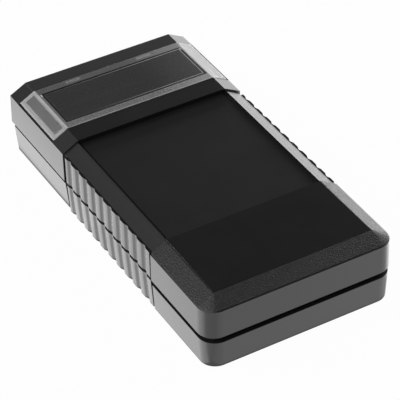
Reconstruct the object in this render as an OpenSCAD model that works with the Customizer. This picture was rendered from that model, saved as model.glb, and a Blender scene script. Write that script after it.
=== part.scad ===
// Two-half handheld instrument case with a wrap-over display window, fluted side grips,
// a keypad recess and a battery bay under the plain near end.
// Millimetres. +X right, +Y from the plain near end to the display head, +Z up, base on z = 0.

/* [Case] */
// Length of the case, near end to display head
case_l = 196.2; // [194:0.1:200]
// Width across the parting line
case_w = 100.5; // [99.5:0.1:102]
// Height of the display head above the base
head_h = 38.2; // [37.7:0.1:39]
// Wall thickness of both halves
wall = 2.5; // [2.2:0.1:2.8]
// Length of the plain near section
near_l = 51.4; // [51:0.1:53]
// Length of the display head at its base
head_l = 57.9; // [56:0.1:60]
// Radius of the upright near corners, also the plan width of the bevel there
corner_r = 8.8; // [8:0.1:9.5]

/* [Top half] */
// Height of the plain near plane
near_h = 37.4; // [37:0.1:37.8]
// Height of the rim beside the keypad recess
mid_h = 37; // [36.7:0.1:37.3]
// Depth of the keypad recess below that rim
recess_depth = 1.2; // [0.8:0.1:1.4]
// Half width of the keypad recess
recess_half = 40.9; // [38:0.1:41]
// Width of the groove along both long sides of the recess
recess_groove_w = 1.4; // [1:0.1:1.8]
// Height of the bevel's foot on the near section
foot_h = 32.6; // [32:0.1:33]
// How far the head's bevel foot stands above the near one
head_lift = 0.8; // [0.4:0.1:1]

/* [Side grips] */
// Distance from one flute to the next
flute_pitch = 8.16; // [8:0.02:8.4]
// Width of a flute between the flat ribs
flute_w = 5; // [4.4:0.1:5.6]
// Depth of a flute below the ribs
flute_depth = 0.75; // [0.5:0.05:0.9]
// Distance from the head to the middle of the first flute
first_flute = 7; // [6.4:0.1:7.4]
// Width of the upright groove between the near section and the first rib
groove_w = 1.4; // [1.2:0.1:1.8]
// Width of the upright groove between the last rib and the head
head_groove_w = 2.6; // [2:0.1:2.8]

/* [Parting line] */
// Lower edge of the top half along the head
part_top = 17.2; // [17:0.1:17.4]
// Upper edge of the bottom half along the head
head_part_low = 15.4; // [15:0.1:16]
// Upper edge of the bottom half's grips
part_low = 16.3; // [16:0.1:16.6]
// Lower edge of the top half's grips
grip_part_top = 18; // [17.6:0.1:18.2]
// Lower edge of the top half round the near section
near_part_top = 17.7; // [17.5:0.1:18]
// Upper edge of the bottom half round the near section
near_part_low = 14.5; // [14:0.1:15]

/* [Window] */
// Length of the clear window along the case
lens_l = 36.4; // [35:0.1:37]
// Distance from the head's near face to the window
lens_start = 11.4; // [11:0.1:12]
// Thickness of the window's flange
lens_t = 1.6; // [1.4:0.1:1.8]
// Thickness of the plug under the flange
lens_plug_t = 1.2; // [0.8:0.1:1.4]
// Width of the flange beyond the near and far edges of the plug
lens_flange = 5.1; // [4.6:0.1:5.2]
// Half width of the plug
plug_half = 38.7; // [38:0.1:39]
// How far the window stands proud of the head
lens_proud = 0.2; // [0:0.1:0.3]
// Width of each of the window's two snap hooks
hook_w = 8; // [6:0.5:10]

/* [Battery bay] */
// Half width of the battery door
door_half = 31; // [30:0.5:32]
// Distance of the door's near edge from the near end
door_near = 8; // [8:0.1:9]
// Distance of the door's hinge line from the near end
hinge_y = 46; // [45.6:0.1:46.2]
// Thickness of the door plate
door_t = 1.3; // [1.2:0.1:1.4]
// Height inside the bay above the base
bay_top = 18; // [17.6:0.1:18.6]
// Thickness of the stamped contacts
contact_t = 0.4; // [0.3:0.1:0.5]

/* [Screws] */
// Distance of the screws from the middle plane
screw_x = 40.5; // [40:0.1:41]
// Distance of the near screws from the near end
screw_near_y = 12; // [12:0.5:13]
// Distance of the far screws from the near end
screw_far_y = 187; // [186:0.5:188]
// Diameter of a screw's shank
screw_d = 2.5; // [2.2:0.1:2.6]
// Diameter of a screw's head
screw_head_d = 5.4; // [5:0.1:5.6]
// Height of the seat under a screw's head
screw_seat = 8; // [7:0.5:9]

/* [Hidden] */
$fn = 64;
eps = 0.01;
// Overshoot of a cutting shape past the face that it opens
cut = 1;
black = [0.13, 0.13, 0.14];
nickel = [0.72, 0.71, 0.68];
steel = [0.55, 0.56, 0.58];
clear = [0.8, 0.82, 0.84, 0.4];

// Outer walls: drafts, and the small steps between the sections and between the halves
half_w = case_w / 2;
head_y = case_l - head_l;
mid_l = head_y - near_l;
top_draft = 0.2;
bottom_draft = 0.75;
grip_low_draft = 0.97;
head_low_draft = 1.3;
bottom_step = 0.25;
near_low_inset = 0.27;
low_inset = 0.1;
head_inset = 0.5;
head_low_inset = 0.5;
head_draft = 0.1;
far_draft = 2.4;
bottom_far = case_l - 1.7;

// Head section: bevel foot, top edge and the bevel's direction and outward normal
head_half = half_w - head_inset - head_draft;
head_foot = foot_h + head_lift;
head_top_half = half_w - corner_r - head_inset - head_draft;
bevel_len = norm([head_half - head_top_half, head_h - head_foot]);
bevel_dir = [head_top_half - head_half, head_h - head_foot] / bevel_len;
bevel_out = [bevel_dir[1], -bevel_dir[0]];

// Middle section: flat ribs with round flutes between them, in front of a plain wall
rib_half = half_w - 0.43;
rib_proud = 1.42;
flute_count = floor((mid_l - first_flute - groove_w - flute_w / 2) / flute_pitch) + 1;
flute_steps = 12;
flute_back = rib_proud + 0.9;
flute_top = foot_h + 0.4;
core_half = rib_half - rib_proud;
low_core = core_half - low_inset;
rim_w = 0.4;
mid_top_half = recess_half + rim_w;
recess_z = mid_h - recess_depth;
recess_groove_depth = 0.4;
groove_bite = 0.6;
groove_sink = 0.1;
grip_y0 = near_l - groove_bite + groove_w;
grip_y1 = head_y - head_groove_w;

// Along the grips the halves meet behind the ribs, at the back of an open parting gap
part_mid = (part_top + part_low) / 2;
low_lean = atan(grip_low_draft / part_low);

// Inner hollow: ceilings, walls, and the heights from which the walls lean in
cavity_half = half_w - wall - 1.15;
shoulder = 1.5;
ceiling_mid = recess_z - wall;
ceiling_near = near_h - wall;
ceiling_head = head_h - wall - 1.6;
haunch_near = foot_h - 2.2;
haunch_mid = foot_h - 1.2;
haunch_head = foot_h - 1.5;
hollow_low = part_top - 3;
far_in = wall + 1;
lip_half = cavity_half + 0.7;
lip_t = 1.2;
lip_top = part_top + 1.6;
lip_root = near_part_low - 3;
lip_gap = 0.3;
lip_far = bottom_far - wall + lip_t;

// Screw bosses and board posts
boss_top = foot_h + 1.7;
boss_d = 7;
low_boss_d = 9;
pilot_d = screw_d + 0.1;
pilot_l = 10;
clearance_d = screw_d + 0.8;
head_bore_d = screw_head_d + 0.8;
post_x = 40;
post_inset = 12;
post_low = 24;
post_d = 6.5;
post_hole_d = 2.2;
post_hole_l = 6;

// Window place along the case, its ends on the bevels, the cuts that open the head, its snap hooks
lens_y0 = head_y + lens_start;
lens_y1 = lens_y0 + lens_l;
lens_gap = 0.2;
lens_under = lens_proud - lens_t;
wing_end = 1.5;
wing_gap = 1.2;
open_out = 3;
hook_x = 20;
hook_t = 1.1;
hook_l = 4.2;
hook_y = lens_y1 - 0.8;
barb_h = 1.2;
barb_out = 0.5;

// Battery bay, its door and the cells
door_gap = 0.3;
door_z = 0.2;
hinge_r = door_t / 2;
hinge_z = door_z + hinge_r;
ledge = 1.5;
hole_half = door_half - 2.2;
hole_near = door_near + ledge;
hole_far = hinge_y + hinge_r + 0.45;
pocket_depth = door_z + door_t + 0.1;
bay_near = hole_near - 1.1;
bay_wall = 1.4;
rib_h = 0.9;
rib_gap = 0.5;
tab_x = 18;
tab_w = 8;
tab_reach = 3;
tab_root = 2.5;
tab_z = hinge_z + 0.5;
tab_t = 1.15;
tab_skin = 1.05;
tab_play = 0.5;
tab_end = hinge_y + tab_reach + 0.9;
tab_room = 5;
tongue_y = hole_near + 0.8;
tongue_w = 12;
tongue_t = 1;
tongue_fold = 3.2;
tongue_h = 7.2;
tongue_chamfer = 0.8;
tongue_slit = 0.6;
crown_t = 0.9;
crown_chamfer = 0.3;
nose_out = 0.5;
nose_low = 2.8;
nose_tip = 3.2;
nose_high = 3.9;
cell_y = [20.9, 35.7];

// Contacts
contact_w = 9;
contact_z = 4.2;
contact_h = 11;
leaf_w = 6;
leaf_foot = contact_z + 1;
leaf_knee = leaf_foot + 4;
leaf_flat = 1;
leaf_tip = leaf_knee + 3.6;
leaf_reach = 2.6;
leaf_return = 1.4;
button_r = 2.2;
button_h = 0.8;
strap_h = 4;

// Screws
screw_head_h = 2;
shank_l = 16;
cross_l = 3;
cross_w = 0.7;
cross_depth = 1.2;

// Moves what is measured from the near end so that the origin is under the middle
module placed() translate([0, -case_l / 2, 0]) children();

// Extrudes an outline drawn in X and Z along Y
module along_y(y0, y1) translate([0, y1, 0]) rotate([90, 0, 0]) linear_extrude(y1 - y0) children();

// Extrudes an outline drawn in Y and Z along X
module along_x(x0, x1) translate([x0, 0, 0]) rotate([90, 0, 90]) linear_extrude(x1 - x0) children();

// A box between two corners
module block(low, high) translate(low) cube(high - low);

// The same on the right and on the left
module both_sides() for (side = [0, 1]) mirror([side, 0, 0]) children();

// A symmetric section from its right-hand points, bottom to top
module section(right) {
    n = len(right);
    polygon(concat(right, [for (i = [n - 1:-1:0]) [-right[i][0], right[i][1]]]));
}

// A block with two rounded upright corners at its near end.
// Each step is [inset from the reference outline, height], bottom to top.
module rounded_end(half, r, steps, y_near, y_far) {
    core = half - r;
    last = steps[len(steps) - 1];
    closing = last[0] < r - eps ? [[0, last[1]]] : [];
    along_y(y_near + r, y_far) section([for (s = steps) [half - s[0], s[1]]]);
    along_x(-core, core)
        polygon(concat([for (s = steps) [y_near + s[0], s[1]]],
                       [[y_near + r + cut, last[1]], [y_near + r + cut, steps[0][1]]]));
    for (side = [0, 1])
        translate([side == 0 ? -core : core, y_near + r, 0])
            rotate([0, 0, 180 + 90 * side])
                rotate_extrude(angle = 90)
                    polygon(concat([[0, steps[0][1]]], [for (s = steps) [r - s[0], s[1]]], closing));
}

// Depth of a flute at a distance from its middle: a smooth wave, level at the ribs
function flute_at(s) = flute_depth * (1 + cos(360 * s / flute_w)) / 2;

// Plan outline of one side's grip, rib faces at x = 0
module flute_plan() {
    waves = [for (i = [flute_count - 1:-1:0], j = [0:flute_steps])
             let (s = flute_w * (j / flute_steps - 0.5))
             [-flute_at(s), head_y - first_flute - flute_pitch * i + s]];
    polygon(concat([[-flute_back, grip_y0], [0, grip_y0]], waves, [[0, grip_y1], [-flute_back, grip_y1]]));
}

// Grips on both sides between two heights, leaning in towards the base
module grips(rib, z0, z1, lean)
    both_sides()
        intersection() {
            translate([rib, 0, z1])
                rotate([0, lean, 0])
                    translate([0, 0, z0 - z1 - cut]) linear_extrude(z1 - z0 + 2 * cut) flute_plan();
            block([0, near_l, z0], [half_w, head_y, z1]);
        }

// Where the upright groove beside the near section bites into it, with the lean of the wall behind it
module near_grooves(floor_half, z0, z1, lean)
    both_sides()
        translate([floor_half, near_l, z1])
            rotate([0, lean, 0])
                block([0, -groove_bite, z0 - z1 - cut], [wall + cut, groove_bite / 2, lean == 0 ? 0 : cut]);

// Point on the head's bevel, at a distance from its foot and an offset outwards
function on_bevel(along, out) = [head_half, head_foot] + bevel_dir * along + bevel_out * out;

// Where the head's bevel, offset outwards, meets a level
function bevel_at(z, out) = [head_half + (out - (z - head_foot) * bevel_out[1]) / bevel_out[0], z];

// Band that follows the head's bevels and top: outer face at one offset, inner face at another
module head_band(along, outer, inner) {
    right = [on_bevel(along, outer), bevel_at(head_h + outer, outer)];
    back = [bevel_at(head_h + inner, inner), on_bevel(along, inner)];
    polygon(concat(right, [for (p = [right[1], right[0], back[1], back[0]]) [-p[0], p[1]]], back));
}

module screw_places()
    for (x = [-screw_x, screw_x], y = [screw_near_y, screw_far_y])
        translate([x, y, 0]) children();

module post_places()
    for (x = [-post_x, post_x], y = [near_l + post_inset, head_y - post_inset])
        translate([x, y, 0]) children();

// Outer form of the top half
module top_outer() {
    rounded_end(half_w, corner_r,
                [[0, near_part_top], [top_draft, foot_h], [corner_r, near_h]], 0, near_l);
    along_y(near_l - eps, head_y + eps)
        section([[core_half, part_mid], [core_half, flute_top], [mid_top_half, mid_h]]);
    grips(rib_half, grip_part_top, flute_top, 0);
    difference() {
        along_y(head_y, case_l)
            section([[half_w - head_inset, part_top], [head_half, head_foot], [head_top_half, head_h]]);
        translate([-half_w, case_l, part_top]) rotate([far_draft, 0, 0]) cube([case_w, far_in, head_h]);
    }
}

// Hollow of the top half, with the rebate that the bottom half's lip fits into
module top_hollow() {
    corner = corner_r - wall;
    rounded_end(cavity_half, corner, [[0, hollow_low], [0, haunch_near], [corner, ceiling_near]],
                half_w - cavity_half, near_l - shoulder);
    along_y(near_l - shoulder - eps, head_y + shoulder)
        section([[cavity_half, hollow_low], [cavity_half, haunch_mid],
                 [recess_half - shoulder, ceiling_mid]]);
    along_y(head_y + shoulder - eps, case_l - far_in)
        section([[cavity_half, hollow_low], [cavity_half, haunch_head],
                 [head_top_half - shoulder, ceiling_head]]);
    rounded_end(lip_half + lip_gap, corner, [[0, hollow_low], [0, lip_top + lip_gap]],
                half_w - lip_half - lip_gap, lip_far + lip_gap);
}

// Slots that the window's snap hooks go through
module hook_slots()
    both_sides()
        block([hook_x - hook_w / 2 - lens_gap, hook_y - hook_t - lens_gap, ceiling_head - cut],
              [hook_x + hook_w / 2 + lens_gap, hook_y + lens_gap, head_h]);

module top_shell() color(black) {
    difference() {
        top_outer();
        top_hollow();
        block([-recess_half, near_l, recess_z], [recess_half, head_y, head_h + cut]);
        for (x = [-recess_half, recess_half - recess_groove_w])
            block([x, near_l, recess_z - recess_groove_depth], [x + recess_groove_w, head_y, head_h + cut]);
        near_grooves(core_half - groove_sink, part_mid - cut, flute_top, 0);
        // Pocket for the window's flange, the opening behind it and the slots for its hooks
        along_y(lens_y0 - lens_gap, lens_y1 + lens_gap)
            head_band(wing_end - wing_gap, open_out, lens_under);
        block([-plug_half - lens_gap, lens_y0 + lens_flange - lens_gap, ceiling_head - cut],
              [plug_half + lens_gap, lens_y1 - lens_flange + lens_gap, head_h]);
        hook_slots();
    }
    // Bosses for the case screws and posts for a circuit board
    difference() {
        union() {
            screw_places() translate([0, 0, part_top]) cylinder(d = boss_d, h = boss_top - part_top);
            post_places() translate([0, 0, post_low]) cylinder(d = post_d, h = ceiling_mid + cut - post_low);
        }
        screw_places() translate([0, 0, part_top - cut]) cylinder(d = pilot_d, h = pilot_l);
        post_places() translate([0, 0, post_low - cut]) cylinder(d = post_hole_d, h = post_hole_l + cut);
    }
}

// Outer form of the bottom half
module bottom_outer() {
    low_head = half_w - head_inset - head_low_inset;
    rounded_end(half_w - near_low_inset, corner_r,
                [[bottom_step + bottom_draft, 0], [bottom_step, near_part_low]], 0, near_l);
    along_y(near_l - eps, head_y + eps)
        section([[low_core - grip_low_draft, 0], [low_core, part_mid]]);
    grips(rib_half - low_inset, 0, part_low, low_lean);
    along_y(head_y, bottom_far) section([[low_head - head_low_draft, 0], [low_head, head_part_low]]);
}

// Lip that locates the top half, standing inside the parting line
module lip() {
    corner = corner_r - wall;
    difference() {
        rounded_end(lip_half, corner, [[0, lip_root], [0, lip_top]], half_w - lip_half, lip_far);
        rounded_end(lip_half - lip_t, corner - lip_t, [[0, lip_root - cut], [0, lip_top + cut]],
                    half_w - lip_half + lip_t, lip_far - lip_t);
    }
}

// Box of the battery bay with the pockets that the door's tabs turn in
module bay_box(grow) {
    block([-hole_half - grow, bay_near - grow, 0], [hole_half + grow, hole_far + grow, bay_top + grow]);
    for (x = [-tab_x, tab_x])
        block([x - tab_w / 2 - tab_play - grow, hole_far - eps, 0],
              [x + tab_w / 2 + tab_play + grow, tab_end + grow, tab_room + grow]);
}

module bottom_shell() color(black) difference() {
    union() {
        difference() {
            bottom_outer();
            rounded_end(cavity_half, corner_r - wall, [[0, wall], [0, lip_top]], half_w - cavity_half,
                        bottom_far - wall);
            near_grooves(low_core - groove_sink, -cut, part_mid, low_lean);
        }
        lip();
        bay_box(bay_wall);
        screw_places() cylinder(d = low_boss_d, h = part_top);
    }
    // Bay hollow above the floor, door opening, ledge pocket and the slots under the tabs
    intersection() {
        bay_box(0);
        block([-half_w, 0, wall], [half_w, tab_end + cut, bay_top + cut]);
    }
    block([-hole_half, hole_near, -cut], [hole_half, hole_far, wall + cut]);
    block([-door_half - door_gap, door_near - door_gap, -cut], [door_half + door_gap, hole_far, pocket_depth]);
    for (x = [-tab_x, tab_x])
        block([x - tab_w / 2 - tab_play, hole_far - cut, tab_skin],
              [x + tab_w / 2 + tab_play, tab_end, wall + cut]);
    // Case screws
    screw_places() {
        translate([0, 0, -cut]) cylinder(d = head_bore_d, h = screw_seat + cut);
        cylinder(d = clearance_d, h = part_top + cut);
    }
}

// Clear window: a flange that sits in the pocket, a plug that fills the opening and two snap hooks
module window_lens() color(clear) {
    root = head_h + lens_under;
    tip = root - hook_l;
    along_y(lens_y0, lens_y1) head_band(wing_end, lens_proud, lens_under);
    block([-plug_half, lens_y0 + lens_flange, root - lens_plug_t],
          [plug_half, lens_y1 - lens_flange, root + eps]);
    both_sides()
        along_x(hook_x - hook_w / 2, hook_x + hook_w / 2)
            polygon([[hook_y, root + eps], [hook_y, tip + barb_h], [hook_y + barb_out, tip + barb_h],
                     [hook_y, tip], [hook_y - hook_t, tip], [hook_y - hook_t, root + eps]]);
}

// Battery door: plate, hinge nose and tabs at the far edge, snap tongue at the near edge
module battery_door() color(black) {
    inside = tongue_fold - tongue_t;
    crown = tongue_h - crown_t;
    difference() {
        union() {
            block([-door_half, door_near, door_z], [door_half, hinge_y, door_z + door_t]);
            block([-hole_half + rib_gap, hole_near + rib_gap, door_z + door_t - eps],
                  [hole_half - rib_gap, hinge_y - ledge, door_z + door_t + rib_h]);
        }
        block([-tongue_w / 2 - tongue_slit, door_near - cut, -cut],
              [tongue_w / 2 + tongue_slit, tongue_y + inside - tongue_slit, door_t + rib_h + cut]);
    }
    translate([-hole_half + rib_gap, hinge_y, hinge_z])
        rotate([0, 90, 0]) cylinder(r = hinge_r, h = 2 * (hole_half - rib_gap));
    for (x = [-tab_x, tab_x])
        block([x - tab_w / 2, hinge_y - tab_root, tab_z], [x + tab_w / 2, hinge_y + tab_reach, tab_z + tab_t]);
    // The tongue is a folded strip: up from the plate, over, and down to the finger pad and its nose
    along_x(-tongue_w / 2, tongue_w / 2)
        translate([tongue_y, 0])
            polygon([[tongue_fold, door_z + door_t], [tongue_fold, tongue_h - tongue_chamfer],
                     [tongue_fold - tongue_chamfer, tongue_h], [tongue_chamfer, tongue_h],
                     [0, tongue_h - tongue_chamfer], [0, nose_high], [-nose_out, nose_tip],
                     [-nose_out, nose_low], [0, nose_low], [0, door_z], [tongue_t, door_z],
                     [tongue_t, crown - crown_chamfer], [tongue_t + crown_chamfer, crown],
                     [inside - crown_chamfer, crown], [inside, crown - crown_chamfer], [inside, door_z]]);
}

// One stamped contact against the bay's end wall: a plate, and a leaf or a button towards the cell
module contact_plate(y)
    block([hole_half - contact_t, y - contact_w / 2, contact_z],
          [hole_half, y + contact_w / 2, contact_z + contact_h]);

module contact_leaf(y)
    along_y(y - leaf_w / 2, y + leaf_w / 2)
        translate([hole_half - contact_t, 0])
            polygon([[eps, leaf_foot], [-leaf_reach, leaf_knee], [-leaf_reach, leaf_knee + leaf_flat],
                     [leaf_return - leaf_reach, leaf_tip], [leaf_return - leaf_reach - contact_t, leaf_tip],
                     [-leaf_reach - contact_t, leaf_knee + leaf_flat + contact_t / 4],
                     [-leaf_reach - contact_t, leaf_knee - contact_t / 4],
                     [eps, leaf_foot - 1.6 * contact_t]]);

module contact_button(y)
    translate([hole_half - contact_t - button_h, y, contact_z + contact_h / 2])
        rotate([0, 90, 0]) cylinder(r = button_r, h = button_h + eps);

module contact_positive() color(nickel) {
    contact_plate(cell_y[0]);
    contact_button(cell_y[0]);
}

module contact_negative() color(nickel) {
    contact_plate(cell_y[1]);
    contact_leaf(cell_y[1]);
}

// The bridge joins both cells at the other end of the bay
module contact_bridge() color(nickel) mirror([1, 0, 0]) {
    for (y = cell_y) contact_plate(y);
    contact_leaf(cell_y[0]);
    contact_button(cell_y[1]);
    block([hole_half - contact_t, cell_y[0], contact_z + contact_h - strap_h],
          [hole_half, cell_y[1], contact_z + contact_h]);
}

// Pan-head screws with a cross recess, driven from below
module case_screws() color(steel) screw_places() difference() {
    union() {
        translate([0, 0, screw_seat - screw_head_h]) cylinder(d = screw_head_d, h = screw_head_h);
        translate([0, 0, screw_seat - eps]) cylinder(d = screw_d, h = shank_l);
    }
    for (turn = [0, 90])
        rotate([0, 0, turn])
            translate([0, 0, screw_seat - screw_head_h])
                block([-cross_l / 2, -cross_w / 2, -cut], [cross_l / 2, cross_w / 2, cross_depth]);
}

placed() top_shell();
placed() bottom_shell();
placed() window_lens();
placed() battery_door();
placed() contact_positive();
placed() contact_negative();
placed() contact_bridge();
placed() case_screws();
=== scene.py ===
import math

import bmesh
import bpy
from mathutils import Euler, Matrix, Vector


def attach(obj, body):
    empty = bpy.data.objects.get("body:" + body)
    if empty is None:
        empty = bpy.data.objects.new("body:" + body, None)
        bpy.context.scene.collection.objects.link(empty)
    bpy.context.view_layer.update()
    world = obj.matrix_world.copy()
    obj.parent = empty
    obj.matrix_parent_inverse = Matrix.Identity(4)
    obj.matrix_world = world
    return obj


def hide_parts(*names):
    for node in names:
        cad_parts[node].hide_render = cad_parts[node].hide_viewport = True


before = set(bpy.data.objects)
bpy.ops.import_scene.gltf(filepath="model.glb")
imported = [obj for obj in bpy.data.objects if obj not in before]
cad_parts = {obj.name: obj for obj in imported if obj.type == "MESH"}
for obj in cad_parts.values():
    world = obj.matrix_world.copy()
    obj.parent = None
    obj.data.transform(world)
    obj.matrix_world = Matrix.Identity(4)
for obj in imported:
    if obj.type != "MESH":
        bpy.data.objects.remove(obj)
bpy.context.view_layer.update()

# Bottom half of the case: one injection moulding in black ABS, with drafted walls, fluted grips,
# the battery bay and the lip that locates the top half. The steel mould is polished on the walls,
# so they come out satin, and its sharp edges have the small radius that the cutter left.


class Paint:
    """A node socket that takes part in Python expressions: operators on values add Math nodes."""

    def __init__(self, socket):
        self.socket = socket

    def node(self, kind, output=0, settings=None, **inputs):
        """A new node of the same tree: settings first, then values or links by name or number."""
        tree = self.socket.id_data
        made = tree.nodes.new(kind)
        for name, value in (settings or {}).items():
            setattr(made, name, value)
        for name, value in inputs.items():
            found = made.inputs[int(name[1:]) if name[1:].isdigit() else name.replace("_", " ")]
            if isinstance(value, Paint):
                tree.links.new(value.socket, found)
            else:
                found.default_value = value
        return Paint(made.outputs[output])

    def maths(self, operation, *values):
        numbered = {f"n{place}": value for place, value in enumerate(values)}
        return self.node("ShaderNodeMath", settings={"operation": operation}, **numbered)

    def __add__(self, other):
        return self.maths("ADD", self, other)

    __radd__ = __add__

    def __sub__(self, other):
        return self.maths("SUBTRACT", self, other)

    def __rsub__(self, other):
        return self.maths("SUBTRACT", other, self)

    def __mul__(self, other):
        return self.maths("MULTIPLY", self, other)

    __rmul__ = __mul__

    def __abs__(self):
        return self.maths("ABSOLUTE", self)

    def ramp(self, low, high):
        """0 up to low and 1 from high on, smooth between."""
        return self.node("ShaderNodeMapRange", "Result", {"interpolation_type": "SMOOTHSTEP"},
                         Value=self, From_Min=low, From_Max=high)

    def band(self, low, high, soft):
        """1 between low and high, with soft edges."""
        return self.ramp(low - soft, low + soft) * (1 - self.ramp(high - soft, high + soft))

    def noise(self, scale, detail, roughness=0.55):
        return self.node("ShaderNodeTexNoise", "Fac", Vector=self, Scale=scale, Detail=detail,
                         Roughness=roughness)

    def tint(self, first, second):
        """A colour between two, by this value."""
        return self.node("ShaderNodeMix", 2, {"data_type": "RGBA"}, n0=self, n6=first, n7=second)

    def axes(self):
        """The x, y and z of this point."""
        split = self.node("ShaderNodeSeparateXYZ", Vector=self).socket.node
        return [Paint(axis) for axis in split.outputs]


def grey(level):
    return (level, level, level, 1.0)


def finish_of(name, **fixed):
    """A new material: its shader with fixed values set, and the Object point to paint it by."""
    material = bpy.data.materials.new(name)
    material.use_nodes = True
    shader = material.node_tree.nodes["Principled BSDF"]
    for socket, value in fixed.items():
        shader.inputs[socket.replace("_", " ")].default_value = value
    place = material.node_tree.nodes.new("ShaderNodeTexCoord")
    return material, shader, Paint(place.outputs["Object"])


def coat(shader, **looks):
    """Links what varies over the surface to the shader."""
    for socket, look in looks.items():
        shader.id_data.links.new(look.socket, shader.inputs[socket.replace("_", " ")])


NEAR_FAR = -0.0467
HEAD_NEAR = 0.0402
STEP_SOFT, ZONE_SOFT, TOP_SOFT = 0.0003, 0.0002, 0.00008
SLOPE_FOOT, SLOPE_TOP, SLOPE_SOFT = 0.0329, 0.03722, 0.00012
HEAD_SLOPE_FOOT, HEAD_TOP = 0.0338, 0.0380
STRIP_NEAR = 0.0884
GAP_LOW, GAP_HIGH = 0.0146, 0.0172
RECESS_LOW, RECESS_HIGH = 0.0352, 0.0362
PIT_DEPTH, HEAD_PIT_DEPTH, SATIN_DEPTH = 0.0003, 0.00001, 0.0000006
black_plastic, shader, point = finish_of("black moulded plastic", IOR=1.55)
y, z = point.axes()[1:]
near_section = 1 - y.ramp(NEAR_FAR - STEP_SOFT, NEAR_FAR + STEP_SOFT)
head = y.ramp(HEAD_NEAR - STEP_SOFT, HEAD_NEAR + STEP_SOFT)
spark_slope = near_section * z.band(SLOPE_FOOT, SLOPE_TOP, SLOPE_SOFT)
head_slope = head * z.band(HEAD_SLOPE_FOOT, HEAD_TOP, ZONE_SOFT)
near_top = near_section * z.ramp(SLOPE_TOP, SLOPE_TOP + TOP_SOFT)
far_strip = y.ramp(STRIP_NEAR, STRIP_NEAR + ZONE_SOFT) * z.ramp(HEAD_TOP - ZONE_SOFT, HEAD_TOP)
# Painted light: a lighter base colour in the height band of the parting gap, standing in for light that
# reaches into the gap.
painted_gap_light = z.band(GAP_LOW, GAP_HIGH, STEP_SOFT)
recess = (1 - near_section) * (1 - head) * z.band(RECESS_LOW, RECESS_HIGH, ZONE_SOFT)
pits = point.noise(1450.0, 2.0)
fine = point.noise(5200.0, 1.0)
cloud = point.noise(70.0, 3.0, 0.6)
height = (PIT_DEPTH * spark_slope * pits + HEAD_PIT_DEPTH * head_slope * pits
          + SATIN_DEPTH * fine)
# The parting gap's share of the base colour is painted light; the other shares are the plastic's own
# tones.
coat(shader,
     Base_Color=(0.13 * cloud + 0.065 * recess + 0.33 * spark_slope + 0.95 * far_strip
                 + 0.9 * painted_gap_light).tint(grey(0.007), grey(0.036)),
     Roughness=0.27 + 0.08 * spark_slope + 0.05 * head_slope + 0.03 * recess - 0.05 * near_top
     + 0.05 * cloud,
     Normal=point.node("ShaderNodeBump", Height=height, Distance=1.0, Strength=1.0))
RIM_HALF, RIM_SLACK = 0.0416, 0.0001
SHARP_ANGLE = math.radians(25)
FLAT_ANGLE = math.radians(0.4)
MERGE_DISTANCE = 2e-6
ROUNDING_STEPS = 2


def sharp(edge):
    return edge.calc_face_angle(math.pi) > SHARP_ANGLE


def on_recess_rim(edge):
    """Whether an edge runs round the sunk middle, which is cut crisp."""
    return all(vert.co.z > RECESS_LOW and abs(vert.co.x) < RIM_HALF
               and NEAR_FAR - RIM_SLACK < vert.co.y < HEAD_NEAR + RIM_SLACK for vert in edge.verts)


def join_flats(made):
    """Joins flat neighbours into one face, where together they have a single outline."""
    done = set()
    for start in list(made.faces):
        if start in done or not start.is_valid:
            continue
        region = [start]
        done.add(start)
        for face in region:
            for edge in face.edges:
                for other in edge.link_faces:
                    if other not in done and start.normal.angle(other.normal, math.pi) < FLAT_ANGLE:
                        region.append(other)
                        done.add(other)
        inside = set(region)
        rim = [edge for face in region for edge in face.edges
               if sum(other in inside for other in edge.link_faces) == 1]
        meeting = {}
        for edge in rim:
            for vert in edge.verts:
                meeting.setdefault(vert, []).append(edge)
        if len(region) == 1 or any(len(edges) != 2 for edges in meeting.values()):
            continue
        edge, vert, steps = rim[0], rim[0].verts[0], 0
        while steps == 0 or edge is not rim[0]:
            vert = edge.other_vert(vert)
            first, second = meeting[vert]
            edge = second if edge is first else first
            steps += 1
        if steps == len(rim):
            done.add(bmesh.utils.face_join(region, True))


def rounded(node, name, body, material, radius, trim=None):
    """A closed copy of a solid: trimmed, flats joined, sharp edges rounded but for the recess rim."""
    made = bmesh.new()
    made.from_mesh(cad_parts[node].data)
    bmesh.ops.remove_doubles(made, verts=made.verts, dist=MERGE_DISTANCE)
    if trim:
        trim(made)
    join_flats(made)
    for face in made.faces:
        face.smooth = True
        face.material_index = 0
    share = made.edges.layers.float.new("bevel_weight_edge")
    for edge in made.edges:
        edge.smooth = not sharp(edge)
        edge[share] = float(sharp(edge) and not on_recess_rim(edge))
    mesh = bpy.data.meshes.new(name)
    made.to_mesh(mesh)
    made.free()
    mesh.materials.append(material)
    piece = bpy.data.objects.new(name, mesh)
    bpy.context.scene.collection.objects.link(piece)
    rounding = piece.modifiers.new("edge radius", "BEVEL")
    rounding.width = radius
    rounding.segments = ROUNDING_STEPS
    rounding.limit_method = "WEIGHT"
    rounding.use_clamp_overlap = False
    rounding.harden_normals = True
    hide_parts(node)
    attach(piece, body)


MOULD_RADIUS = 0.00015
rounded("bottom_shell", "bottom_half", "case", black_plastic, MOULD_RADIUS)

# Battery contacts: three pressings of nickel-plated spring steel, pushed into slots in the bay's end
# walls. The plating is bright, with the faint lines of the rolled strip, and cut edges are broken.
CONTACT_RADIUS = 0.00006
ROLLED_STRETCH = (1.0, 12.0, 1.0)
nickel, shader, point = finish_of("nickel plating", Metallic=1.0)
lines = point.node("ShaderNodeMapping", Vector=point, Scale=ROLLED_STRETCH).noise(900.0, 2.0)
haze_and_painted_light = point.noise(400.0, 2.0)
coat(shader,
     Base_Color=haze_and_painted_light.tint((0.60, 0.57, 0.51, 1.0), (0.70, 0.67, 0.62, 1.0)),
     Roughness=0.20 + 0.12 * lines + 0.05 * haze_and_painted_light,
     Normal=point.node("ShaderNodeBump", Height=lines, Distance=0.000006, Strength=1.0))
for contact in ("contact_positive", "contact_negative", "contact_bridge"):
    rounded(contact, contact + "_pressing", "case", nickel, CONTACT_RADIUS)

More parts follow.
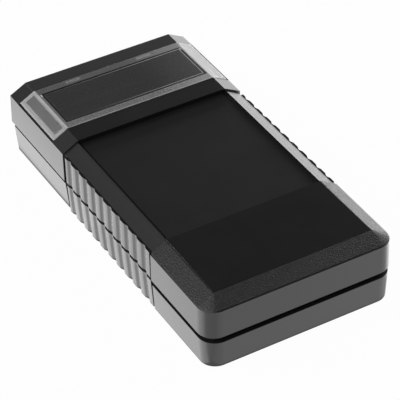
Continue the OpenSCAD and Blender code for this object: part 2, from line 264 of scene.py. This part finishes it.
# Battery door: a snap-in cover of the same plastic, hooked under the bay's edge by two tabs and held
# by a sprung tongue. A row of low finger ridges is moulded on its outer face, beside the tongue.
rounded("battery_door", "battery_cover", "door", black_plastic, MOULD_RADIUS)
CREASE_ANGLE = math.radians(40)


def tree_of(name, *sockets):
    """A new Geometry Nodes tree with named inputs: the tree and its inputs by name."""
    tree = bpy.data.node_groups.new(name, "GeometryNodeTree")
    for label, kind in (("Geometry", "Geometry"),) + sockets:
        tree.interface.new_socket(label, in_out="INPUT", socket_type="NodeSocket" + kind)
    tree.interface.new_socket("Geometry", in_out="OUTPUT", socket_type="NodeSocketGeometry")
    start = tree.nodes.new("NodeGroupInput")
    return tree, {socket.name: Paint(socket) for socket in start.outputs if socket.name}


def end_tree(instances, material):
    """Makes the instances real, gives them their material and hands them out of the tree."""
    real = instances.node("GeometryNodeRealizeInstances", Geometry=instances)
    dressed = real.node("GeometryNodeSetMaterial", Geometry=real, Material=material)
    out = dressed.socket.id_data.nodes.new("NodeGroupOutput")
    out.id_data.links.new(dressed.socket, out.inputs["Geometry"])


def grown(tree, name, points, **values):
    """A plain mesh object from a tree that starts on the given points."""
    mesh = bpy.data.meshes.new(name)
    mesh.from_pydata(points, [], [])
    piece = bpy.data.objects.new(name, mesh)
    bpy.context.scene.collection.objects.link(piece)
    modifier = piece.modifiers.new(name, "NODES")
    modifier.node_group = tree
    for item in tree.interface.items_tree:
        if item.in_out == "INPUT" and item.name in values:
            modifier[item.identifier] = values[item.name]
    ready = piece.evaluated_get(bpy.context.evaluated_depsgraph_get())
    plain = bpy.data.meshes.new_from_object(ready)
    plain.name = name
    piece.modifiers.remove(modifier)
    piece.data = plain
    for face in plain.polygons:
        face.use_smooth = True
    plain.set_sharp_from_angle(angle=CREASE_ANGLE)
    return piece


RIDGE_FACE = 0.0002
RIDGE_FIRST, RIDGE_PITCH, RIDGES = -0.0826, 0.0013, 6
RIDGE_LENGTH, RIDGE_RADIUS, RIDGE_HEIGHT = 0.020, 0.0004, 0.00017
BEAD_SIDES, BEAD_RINGS = 20, 12
ridge_tree, given = tree_of("finger ridges", ("Length", "Float"), ("Radius", "Float"),
                            ("Height", "Float"), ("Material", "Material"))
bead = given["Radius"].node("GeometryNodeMeshUVSphere", "Mesh", Segments=BEAD_SIDES, Rings=BEAD_RINGS,
                            Radius=given["Radius"])
across = bead.node("GeometryNodeInputPosition").axes()[0]
run = across.maths("SIGN", across) * (0.5 * given["Length"] - given["Radius"])
bar = bead.node("GeometryNodeSetPosition", Geometry=bead,
                Offset=run.node("ShaderNodeCombineXYZ", X=run))
flatten = given["Height"].maths("DIVIDE", given["Height"], given["Radius"])
low_bar = bar.node("GeometryNodeTransform", Geometry=bar,
                   Scale=flatten.node("ShaderNodeCombineXYZ", X=1.0, Y=1.0, Z=flatten))
end_tree(low_bar.node("GeometryNodeInstanceOnPoints", Points=given["Geometry"], Instance=low_bar),
         given["Material"])
ridge_points = [(0.0, RIDGE_FIRST + RIDGE_PITCH * place, RIDGE_FACE) for place in range(RIDGES)]
ridges = grown(ridge_tree, "door_ridges", ridge_points, Length=RIDGE_LENGTH, Radius=RIDGE_RADIUS,
               Height=RIDGE_HEIGHT, Material=black_plastic)
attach(ridges, "door")

# Top half of the case: the same black ABS in one moulding. Its near section has spark-eroded slopes,
# the middle is sunk for a label or keypad, and the head has a pocket and an opening for the window.
LEDGE_Z, LEDGE_TOP = 0.03345, 0.0346
LEDGE_IN, LEDGE_OUT = 0.0483, 0.0499
LEDGE_NEAR, LEDGE_FAR = 0.0514, 0.0882


def shadow_ledges(made):
    """Cuts the wall level beside the window's wings, which leaves a dark gap under them."""
    blank = bpy.data.objects.new("blank", bpy.data.meshes.new("blank"))
    made.to_mesh(blank.data)
    blocks = bmesh.new()
    for side in (-1, 1):
        block = bmesh.ops.create_cube(blocks, size=1.0)["verts"]
        bmesh.ops.scale(blocks, verts=block, vec=(LEDGE_OUT - LEDGE_IN, LEDGE_FAR - LEDGE_NEAR,
                                                  LEDGE_TOP - LEDGE_Z))
        bmesh.ops.translate(blocks, verts=block, vec=(side * (LEDGE_OUT + LEDGE_IN) / 2,
                                                      (LEDGE_FAR + LEDGE_NEAR) / 2,
                                                      (LEDGE_TOP + LEDGE_Z) / 2))
    cutter = bpy.data.objects.new("cutter", bpy.data.meshes.new("cutter"))
    blocks.to_mesh(cutter.data)
    blocks.free()
    for helper in (blank, cutter):
        bpy.context.scene.collection.objects.link(helper)
    cut = blank.modifiers.new("ledges", "BOOLEAN")
    cut.operation = "DIFFERENCE"
    cut.solver = "EXACT"
    cut.object = cutter
    ready = blank.evaluated_get(bpy.context.evaluated_depsgraph_get())
    made.clear()
    made.from_mesh(ready.data)
    bpy.data.objects.remove(blank)
    bpy.data.objects.remove(cutter)
    bmesh.ops.remove_doubles(made, verts=made.verts, dist=MERGE_DISTANCE)


rounded("top_shell", "top_half", "case", black_plastic, MOULD_RADIUS, shadow_ledges)

# Window: a clear polycarbonate cap moulded in one piece, pressed into the head's pocket and held by
# two snap hooks. The pane is polished, and the bands and wings round it are left frosted. Part of the
# frost is painted light: it grows towards the right side, and a painted highlight sits at the pane's
# far inner corners.
PANE_HALF, PANE_MIDDLE, PANE_NEAR, PANE_FAR = 0.0388, 0.0004, 0.0567, 0.0829
PANE_SOFT, BAND_SOFT, HOOK_SOFT, FINE_SOFT = 0.0005, 0.0003, 0.0004, 0.0001
CLEAR_IN, CLEAR_OUT, PLUG_IN, PLUG_OUT = -0.0013, -0.0010, -0.0009, -0.0005
BORDER_IN, BORDER_OUT, NEAR_LIP_OUT, NEAR_LIP_IN = 0.0003, 0.0009, 0.0519, 0.0523
PAINTED_LIGHT_LEFT, PAINTED_LIGHT_RIGHT, GLINT_LEFT, GLINT_RIGHT = 0.006, 0.044, -0.03, 0.03
FLAT_LOW, FLAT_HIGH, BEND_LOW, BEND_HIGH = 0.0379, 0.0382, 0.0374, 0.0378
BEND, BEND_LINE_IN, BEND_LINE_OUT = 0.0408, 0.0402, 0.0412
BEND_RUN_IN, BEND_RUN_OUT = 0.0006, 0.0002
PANEL_IN, PANEL_OUT, PANEL_NEAR, PANEL_FAR = 0.0421, 0.0466, 0.0538, 0.0855
HOOK_IN, HOOK_OUT, HOOK_NEAR, HOOK_FAR = 0.016, 0.024, 0.0850, 0.0870
# Where the painted highlight sits, at the pane's far inner corners.
HIGHLIGHT_IN, HIGHLIGHT_OUT, HIGHLIGHT_NEAR, HIGHLIGHT_FAR = 0.0389, 0.0397, 0.0812, 0.0832
WING_RUN, WING_DROP = 0.878, 0.479
WING_FOOT_X, WING_FOOT_Z = 0.04965, 0.0334
SKIN_LOW, SKIN_HIGH, END_IN, END_OUT = -0.0005, -0.0001, 0.0257, 0.0259
WING_LIP_IN, WING_LIP_OUT = 0.0477, 0.0482
WINDOW_IOR, WINDOW_RADIUS, LIP = 1.58, 0.00012, 0.0004
window_plastic, shader, point = finish_of("clear window plastic", Base_Color=(0.97, 0.98, 0.98, 1.0),
                                          Transmission_Weight=1.0, IOR=WINDOW_IOR)
x, y, z = point.axes()
side = abs(x)
speck = point.noise(1600.0, 2.0)
smear = point.noise(45.0, 3.0)
along = abs(y - (PANE_NEAR + PANE_FAR) / 2) - (PANE_FAR - PANE_NEAR) / 2
edge = along.maths("MAXIMUM", along, abs(x - PANE_MIDDLE) - PANE_HALF)
border = edge.ramp(BORDER_IN, BORDER_OUT)
pane = 1 - edge.ramp(CLEAR_IN, CLEAR_OUT)
plug_line = edge.band(PLUG_IN, PLUG_OUT, FINE_SOFT)
# Painted light: the frost grows towards the right side, where the lens stands lit. The glint makes the
# plug line brighter to the right, a painted highlight.
haze_and_painted_light = x.ramp(PAINTED_LIGHT_LEFT, PAINTED_LIGHT_RIGHT)
glint = x.ramp(GLINT_LEFT, GLINT_RIGHT)
near_band = 1 - y.ramp(PANE_NEAR - PANE_SOFT, PANE_NEAR)
far_band = y.ramp(PANE_FAR, PANE_FAR + PANE_SOFT)
wing = side.ramp(BEND - BEND_RUN_IN, BEND - BEND_RUN_OUT)
bend_line = side.band(BEND_LINE_IN, BEND_LINE_OUT, BAND_SOFT)
wing_inner = side.band(PANEL_IN, PANEL_OUT, BAND_SOFT) * y.band(PANEL_NEAR, PANEL_FAR, BAND_SOFT)
hook = side.band(HOOK_IN, HOOK_OUT, HOOK_SOFT) * y.band(HOOK_NEAR, HOOK_FAR, BAND_SOFT)
# Painted highlight: a small bright frosted tick at each far inner corner of the pane.
painted_corner_highlight = side.band(HIGHLIGHT_IN, HIGHLIGHT_OUT, FINE_SOFT) * y.band(HIGHLIGHT_NEAR, HIGHLIGHT_FAR, ZONE_SOFT)
near_lip = 1 - y.ramp(NEAR_LIP_OUT, NEAR_LIP_IN)
# The extra frost towards the right in the bands and the pane is painted light.
near_frost = near_band * (0.30 * speck - 0.14 + 0.22 * near_lip + 0.12 * haze_and_painted_light)
far_frost = far_band * (0.10 * speck + 0.25 * speck * hook - 0.12 + 0.16 * haze_and_painted_light)
band_frost = 0.22 + near_frost + far_frost
flat_frost = (pane * (0.034 + 0.01 * smear) + 0.045 * haze_and_painted_light + (0.14 + 0.36 * glint) * plug_line
              + border * band_frost + 0.5 * painted_corner_highlight)
wing_lip = side.ramp(WING_LIP_IN, WING_LIP_OUT)
wing_frost = 0.44 + 0.12 * wing_lip - 0.325 * wing_inner
wing_depth = WING_DROP * (side - WING_FOOT_X) + WING_RUN * (z - WING_FOOT_Z)
wing_outside = wing_depth.ramp(SKIN_LOW, SKIN_HIGH)
wing_end = (WING_RUN * side - WING_DROP * z).ramp(END_IN, END_OUT)
frost = ((1 - wing) * flat_frost * z.ramp(FLAT_LOW, FLAT_HIGH)
         + wing * wing_frost * wing_end.maths("MAXIMUM", wing_end, wing_outside)
         + 0.18 * bend_line * z.ramp(BEND_LOW, BEND_HIGH))
coat(shader, Roughness=0.03 + 0.02 * smear + 0.4 * wing)
milky = shader.id_data.nodes.new("ShaderNodeBsdfPrincipled")
milky.inputs["Base Color"].default_value = (0.90, 0.90, 0.91, 1.0)
milky.inputs["Roughness"].default_value = 0.45
milky.inputs["IOR"].default_value = WINDOW_IOR
surface = frost.node("ShaderNodeMixShader", Fac=frost, n1=Paint(shader.outputs[0]),
                     n2=Paint(milky.outputs[0]))
out = shader.id_data.nodes["Material Output"]
shader.id_data.links.new(surface.socket, out.inputs["Surface"])


def wing_lips(made):
    """Draws the outer edge of each wing's end out along its slope, into a thin lip."""
    for vert in made.verts:
        if abs(vert.co.x) > LEDGE_IN:
            vert.co += Vector((math.copysign(WING_RUN * LIP, vert.co.x), 0.0, -WING_DROP * LIP))


rounded("window_lens", "window_cap", "case", window_plastic, WINDOW_RADIUS, wing_lips)

# Case screws: four pan-head screws of zinc-plated steel, driven from below into the top half's bosses.
# The heads are cold formed with a cross recess, and the threads are rolled.
SCREW_X, SCREW_NEAR, SCREW_FAR, TURN_SEED = 0.0405, -0.0861, 0.0889, 7
SCREW_SPOTS = [(x, y, 0.0) for x in (-SCREW_X, SCREW_X) for y in (SCREW_NEAR, SCREW_FAR)]
HEAD_LOW, SCREW_SEAT, SCREW_TIP = 0.006, 0.008, 0.02399
HEAD_R, HEAD_FLAT_R, HEAD_DOME, HEAD_BREAK, DOME_STEPS = 0.0027, 0.0018, 0.0013, 0.0001, 5
SHANK_R, TIP_R, TIP_LENGTH, SIDES = 0.00125, 0.0005, 0.0012, 32
THREAD_PITCH, THREAD_DEPTH, THREAD_FLANK, THREAD_STEPS = 0.0011, 0.00032, 0.35, 84
CROSS_ARM, CROSS_HALF, CROSS_DEPTH, CROSS_TAPER = 0.0014, 0.0003, 0.0011, 0.75
screw_mesh = bpy.data.meshes.new("screw")
made = bmesh.new()
ANGLES = [2 * math.pi * step / SIDES for step in range(SIDES)]


def thread_depth_at(height, angle):
    """How far the thread's surface lies under its crest."""
    phase = ((height - SCREW_SEAT) / THREAD_PITCH - angle / (2 * math.pi)) % 1.0
    return THREAD_DEPTH * min(1.0, abs(phase - 0.5) / THREAD_FLANK)


def ring(height, radius, threaded=False):
    radii = [radius - (thread_depth_at(height, angle) if threaded else 0.0) for angle in ANGLES]
    return [made.verts.new((r * math.cos(angle), r * math.sin(angle), height))
            for r, angle in zip(radii, ANGLES)]


rings = []
for step in range(DOME_STEPS + 1):
    turn = math.radians(90 * step / DOME_STEPS)
    rings.append(ring(HEAD_LOW + HEAD_DOME * (1 - math.cos(turn)),
                      HEAD_FLAT_R + (HEAD_R - HEAD_FLAT_R) * math.sin(turn)))
rings.append(ring(SCREW_SEAT - HEAD_BREAK, HEAD_R))
rings.append(ring(SCREW_SEAT, HEAD_R - HEAD_BREAK))
rings.append(ring(SCREW_SEAT, SHANK_R, True))
thread_length = SCREW_TIP - TIP_LENGTH - SCREW_SEAT
for step in range(1, THREAD_STEPS + 1):
    rings.append(ring(SCREW_SEAT + thread_length * step / THREAD_STEPS, SHANK_R, True))
rings.append(ring(SCREW_TIP, TIP_R))
for low, high in zip(rings, rings[1:]):
    for place in range(len(ANGLES)):
        made.faces.new((low[place - 1], low[place], high[place], high[place - 1]))
made.faces.new(rings[-1])
cross = []
for turn in range(4):
    for arm, over in ((CROSS_ARM, -CROSS_HALF), (CROSS_ARM, CROSS_HALF), (CROSS_HALF, CROSS_HALF)):
        cross.append([(arm, over), (-over, arm), (-arm, -over), (over, -arm)][turn])
mouth = [made.verts.new((px, py, HEAD_LOW)) for px, py in cross]
floor_points = [made.verts.new((CROSS_TAPER * px, CROSS_TAPER * py, HEAD_LOW + CROSS_DEPTH))
                for px, py in cross]
for place in range(len(cross)):
    made.faces.new((mouth[place - 1], mouth[place], floor_points[place], floor_points[place - 1]))
made.faces.new(floor_points)
head_edges = [edge for edge in made.edges if len(edge.link_faces) == 1]
bmesh.ops.triangle_fill(made, use_beauty=True, edges=head_edges)
bmesh.ops.recalc_face_normals(made, faces=made.faces)
made.to_mesh(screw_mesh)
made.free()
screw = bpy.data.objects.new("screw", screw_mesh)
bpy.context.scene.collection.objects.link(screw)
zinc, shader, point = finish_of("zinc-plated steel", Metallic=1.0)
bloom = point.noise(1500.0, 3.0)
coat(shader,
     Base_Color=bloom.tint((0.50, 0.51, 0.53, 1.0), (0.64, 0.65, 0.67, 1.0)),
     Roughness=0.24 + 0.16 * bloom,
     Normal=point.node("ShaderNodeBump", Height=bloom, Distance=0.00001, Strength=1.0))
screw_tree, given = tree_of("case screws", ("Screw", "Object"), ("Turn", "Float"),
                            ("Material", "Material"))
one = given["Screw"].node("GeometryNodeObjectInfo", "Geometry", Object=given["Screw"])
drawn = given["Turn"].node("FunctionNodeRandomValue", 1, {"data_type": "FLOAT"}, Seed=TURN_SEED)
turned = drawn.node("FunctionNodeEulerToRotation", Euler=drawn.node(
    "ShaderNodeCombineXYZ", Z=drawn * given["Turn"]))
placed_screws = one.node("GeometryNodeInstanceOnPoints", Points=given["Geometry"], Instance=one,
                         Rotation=turned)
end_tree(placed_screws, given["Material"])
screws = grown(screw_tree, "case_screw_set", SCREW_SPOTS, Screw=screw, Turn=2 * math.pi, Material=zinc)
bpy.data.objects.remove(screw)
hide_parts("case_screws")
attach(screws, "case")

# Studio: a white table under the case, soft boxes round it, and the camera of the photograph. The table
# and the room look plain white to the camera, and parts of the table are lit as a white sweep would be.
TABLE_HALF, TABLE_Z, TABLE_WHITE, GLOW_Z = 3.0, -0.0002, 0.97, 0.0005
table_corners = [(-TABLE_HALF, -TABLE_HALF, TABLE_Z), (TABLE_HALF, -TABLE_HALF, TABLE_Z),
                 (TABLE_HALF, TABLE_HALF, TABLE_Z), (-TABLE_HALF, TABLE_HALF, TABLE_Z)]
table_mesh = bpy.data.meshes.new("table")
table_mesh.from_pydata(table_corners, [], [(0, 1, 2, 3)])
table = bpy.data.objects.new("table", table_mesh)
bpy.context.scene.collection.objects.link(table)
white, shader, point = finish_of("white table", Base_Color=grey(0.9), Roughness=0.9,
                                 Specular_IOR_Level=0.0)
ray = shader.id_data.nodes.new("ShaderNodeLightPath")
seen, mirrored, through = [Paint(ray.outputs[f"Is {kind} Ray"])
                           for kind in ("Camera", "Glossy", "Transmission")]
plain_white = seen.maths("MAXIMUM", seen, mirrored.maths("MAXIMUM", mirrored, through))
glow = seen.node("ShaderNodeEmission", Color=grey(1.0), Strength=1.0)
table_surface = seen.node("ShaderNodeMixShader", Fac=TABLE_WHITE * plain_white,
                          n1=Paint(shader.outputs[0]), n2=glow)
out = shader.id_data.nodes["Material Output"]
shader.id_data.links.new(table_surface.socket, out.inputs["Surface"])
table_mesh.materials.append(white)

world = bpy.data.worlds.new("studio")
bpy.context.scene.world = world
world.use_nodes = True
backdrop = world.node_tree.nodes["Background"]
backdrop.inputs["Color"].default_value = grey(1.0)
ray = world.node_tree.nodes.new("ShaderNodeLightPath")
room = 0.09
world.node_tree.links.new((room + (1 - room) * Paint(ray.outputs["Is Camera Ray"])).socket,
                          backdrop.inputs["Strength"])


def softbox(name, centre, facing, width, height, brightness):
    """A rectangular diffuse lamp that faces a direction, with a given surface brightness."""
    lamp = bpy.data.lights.new(name, "AREA")
    lamp.shape = "RECTANGLE"
    lamp.size = width
    lamp.size_y = height
    lamp.energy = brightness * math.pi * width * height
    placed = bpy.data.objects.new(name, lamp)
    placed.location = centre
    placed.rotation_euler = Vector(facing).to_track_quat("-Z", "Y").to_euler()
    placed.visible_camera = False
    bpy.context.scene.collection.objects.link(placed)
    return placed


def table_glow(name, x0, x1, y0, y1, brightness):
    """A lit part of the table, a little above it."""
    middle = ((x0 + x1) / 2, (y0 + y1) / 2, GLOW_Z)
    lamp = softbox(name, middle, (0.0, 0.0, 1.0), x1 - x0, y1 - y0, brightness)
    lamp.rotation_euler = (math.pi, 0.0, 0.0)


softbox("key", (-0.9, -0.4, 1.2), (0.9, 0.4, -1.2), 1.5, 1.5, 1.6)
softbox("sky left", (-0.44, 0.76, 0.85), (0.44, -0.76, -0.83), 0.9, 0.7, 0.4)
softbox("strip right", (0.92, 0.76, 0.17), (-0.92, -0.76, 0.0), 1.4, 0.34, 3.2)
softbox("overhead", (0.30, -0.05, 0.28), (-0.26, -0.02, -0.25), 0.15, 0.15, 3.6)
softbox("side left", (-0.9, 0.36, 0.72), (0.9, -0.36, -0.69), 0.6, 0.6, 2.6)
CASE_LEFT, CORNER_FAR = -0.0487, -0.095
table_glow("table left", -0.6, CASE_LEFT, CORNER_FAR, 0.5, 1.3)
table_glow("table edge", -0.062, CASE_LEFT, 0.02, 0.2, 0.3)
table_glow("table corner", -0.4, CASE_LEFT, -0.5, CORNER_FAR, 0.25)
table_glow("table front", CASE_LEFT, 0.5, -0.7, -0.0975, 0.45)
table_glow("table right", 0.06, 1.2, -0.1, 1.0, 1.6)

SENSOR, PHOTO_PIXELS, FOCAL_PIXELS = 36.0, 400, 2153.17745
camera = bpy.data.objects.new("camera", bpy.data.cameras.new("camera"))
camera.location = (-0.393289, -0.715266, 0.653050)
camera.rotation_euler = Euler((0.904644526, 0.0232048601, -0.523915128), "XYZ")
camera.data.sensor_width = SENSOR
camera.data.lens = FOCAL_PIXELS / PHOTO_PIXELS * SENSOR
bpy.context.scene.collection.objects.link(camera)
bpy.context.scene.camera = camera
bpy.context.scene.view_settings.view_transform = "Standard"
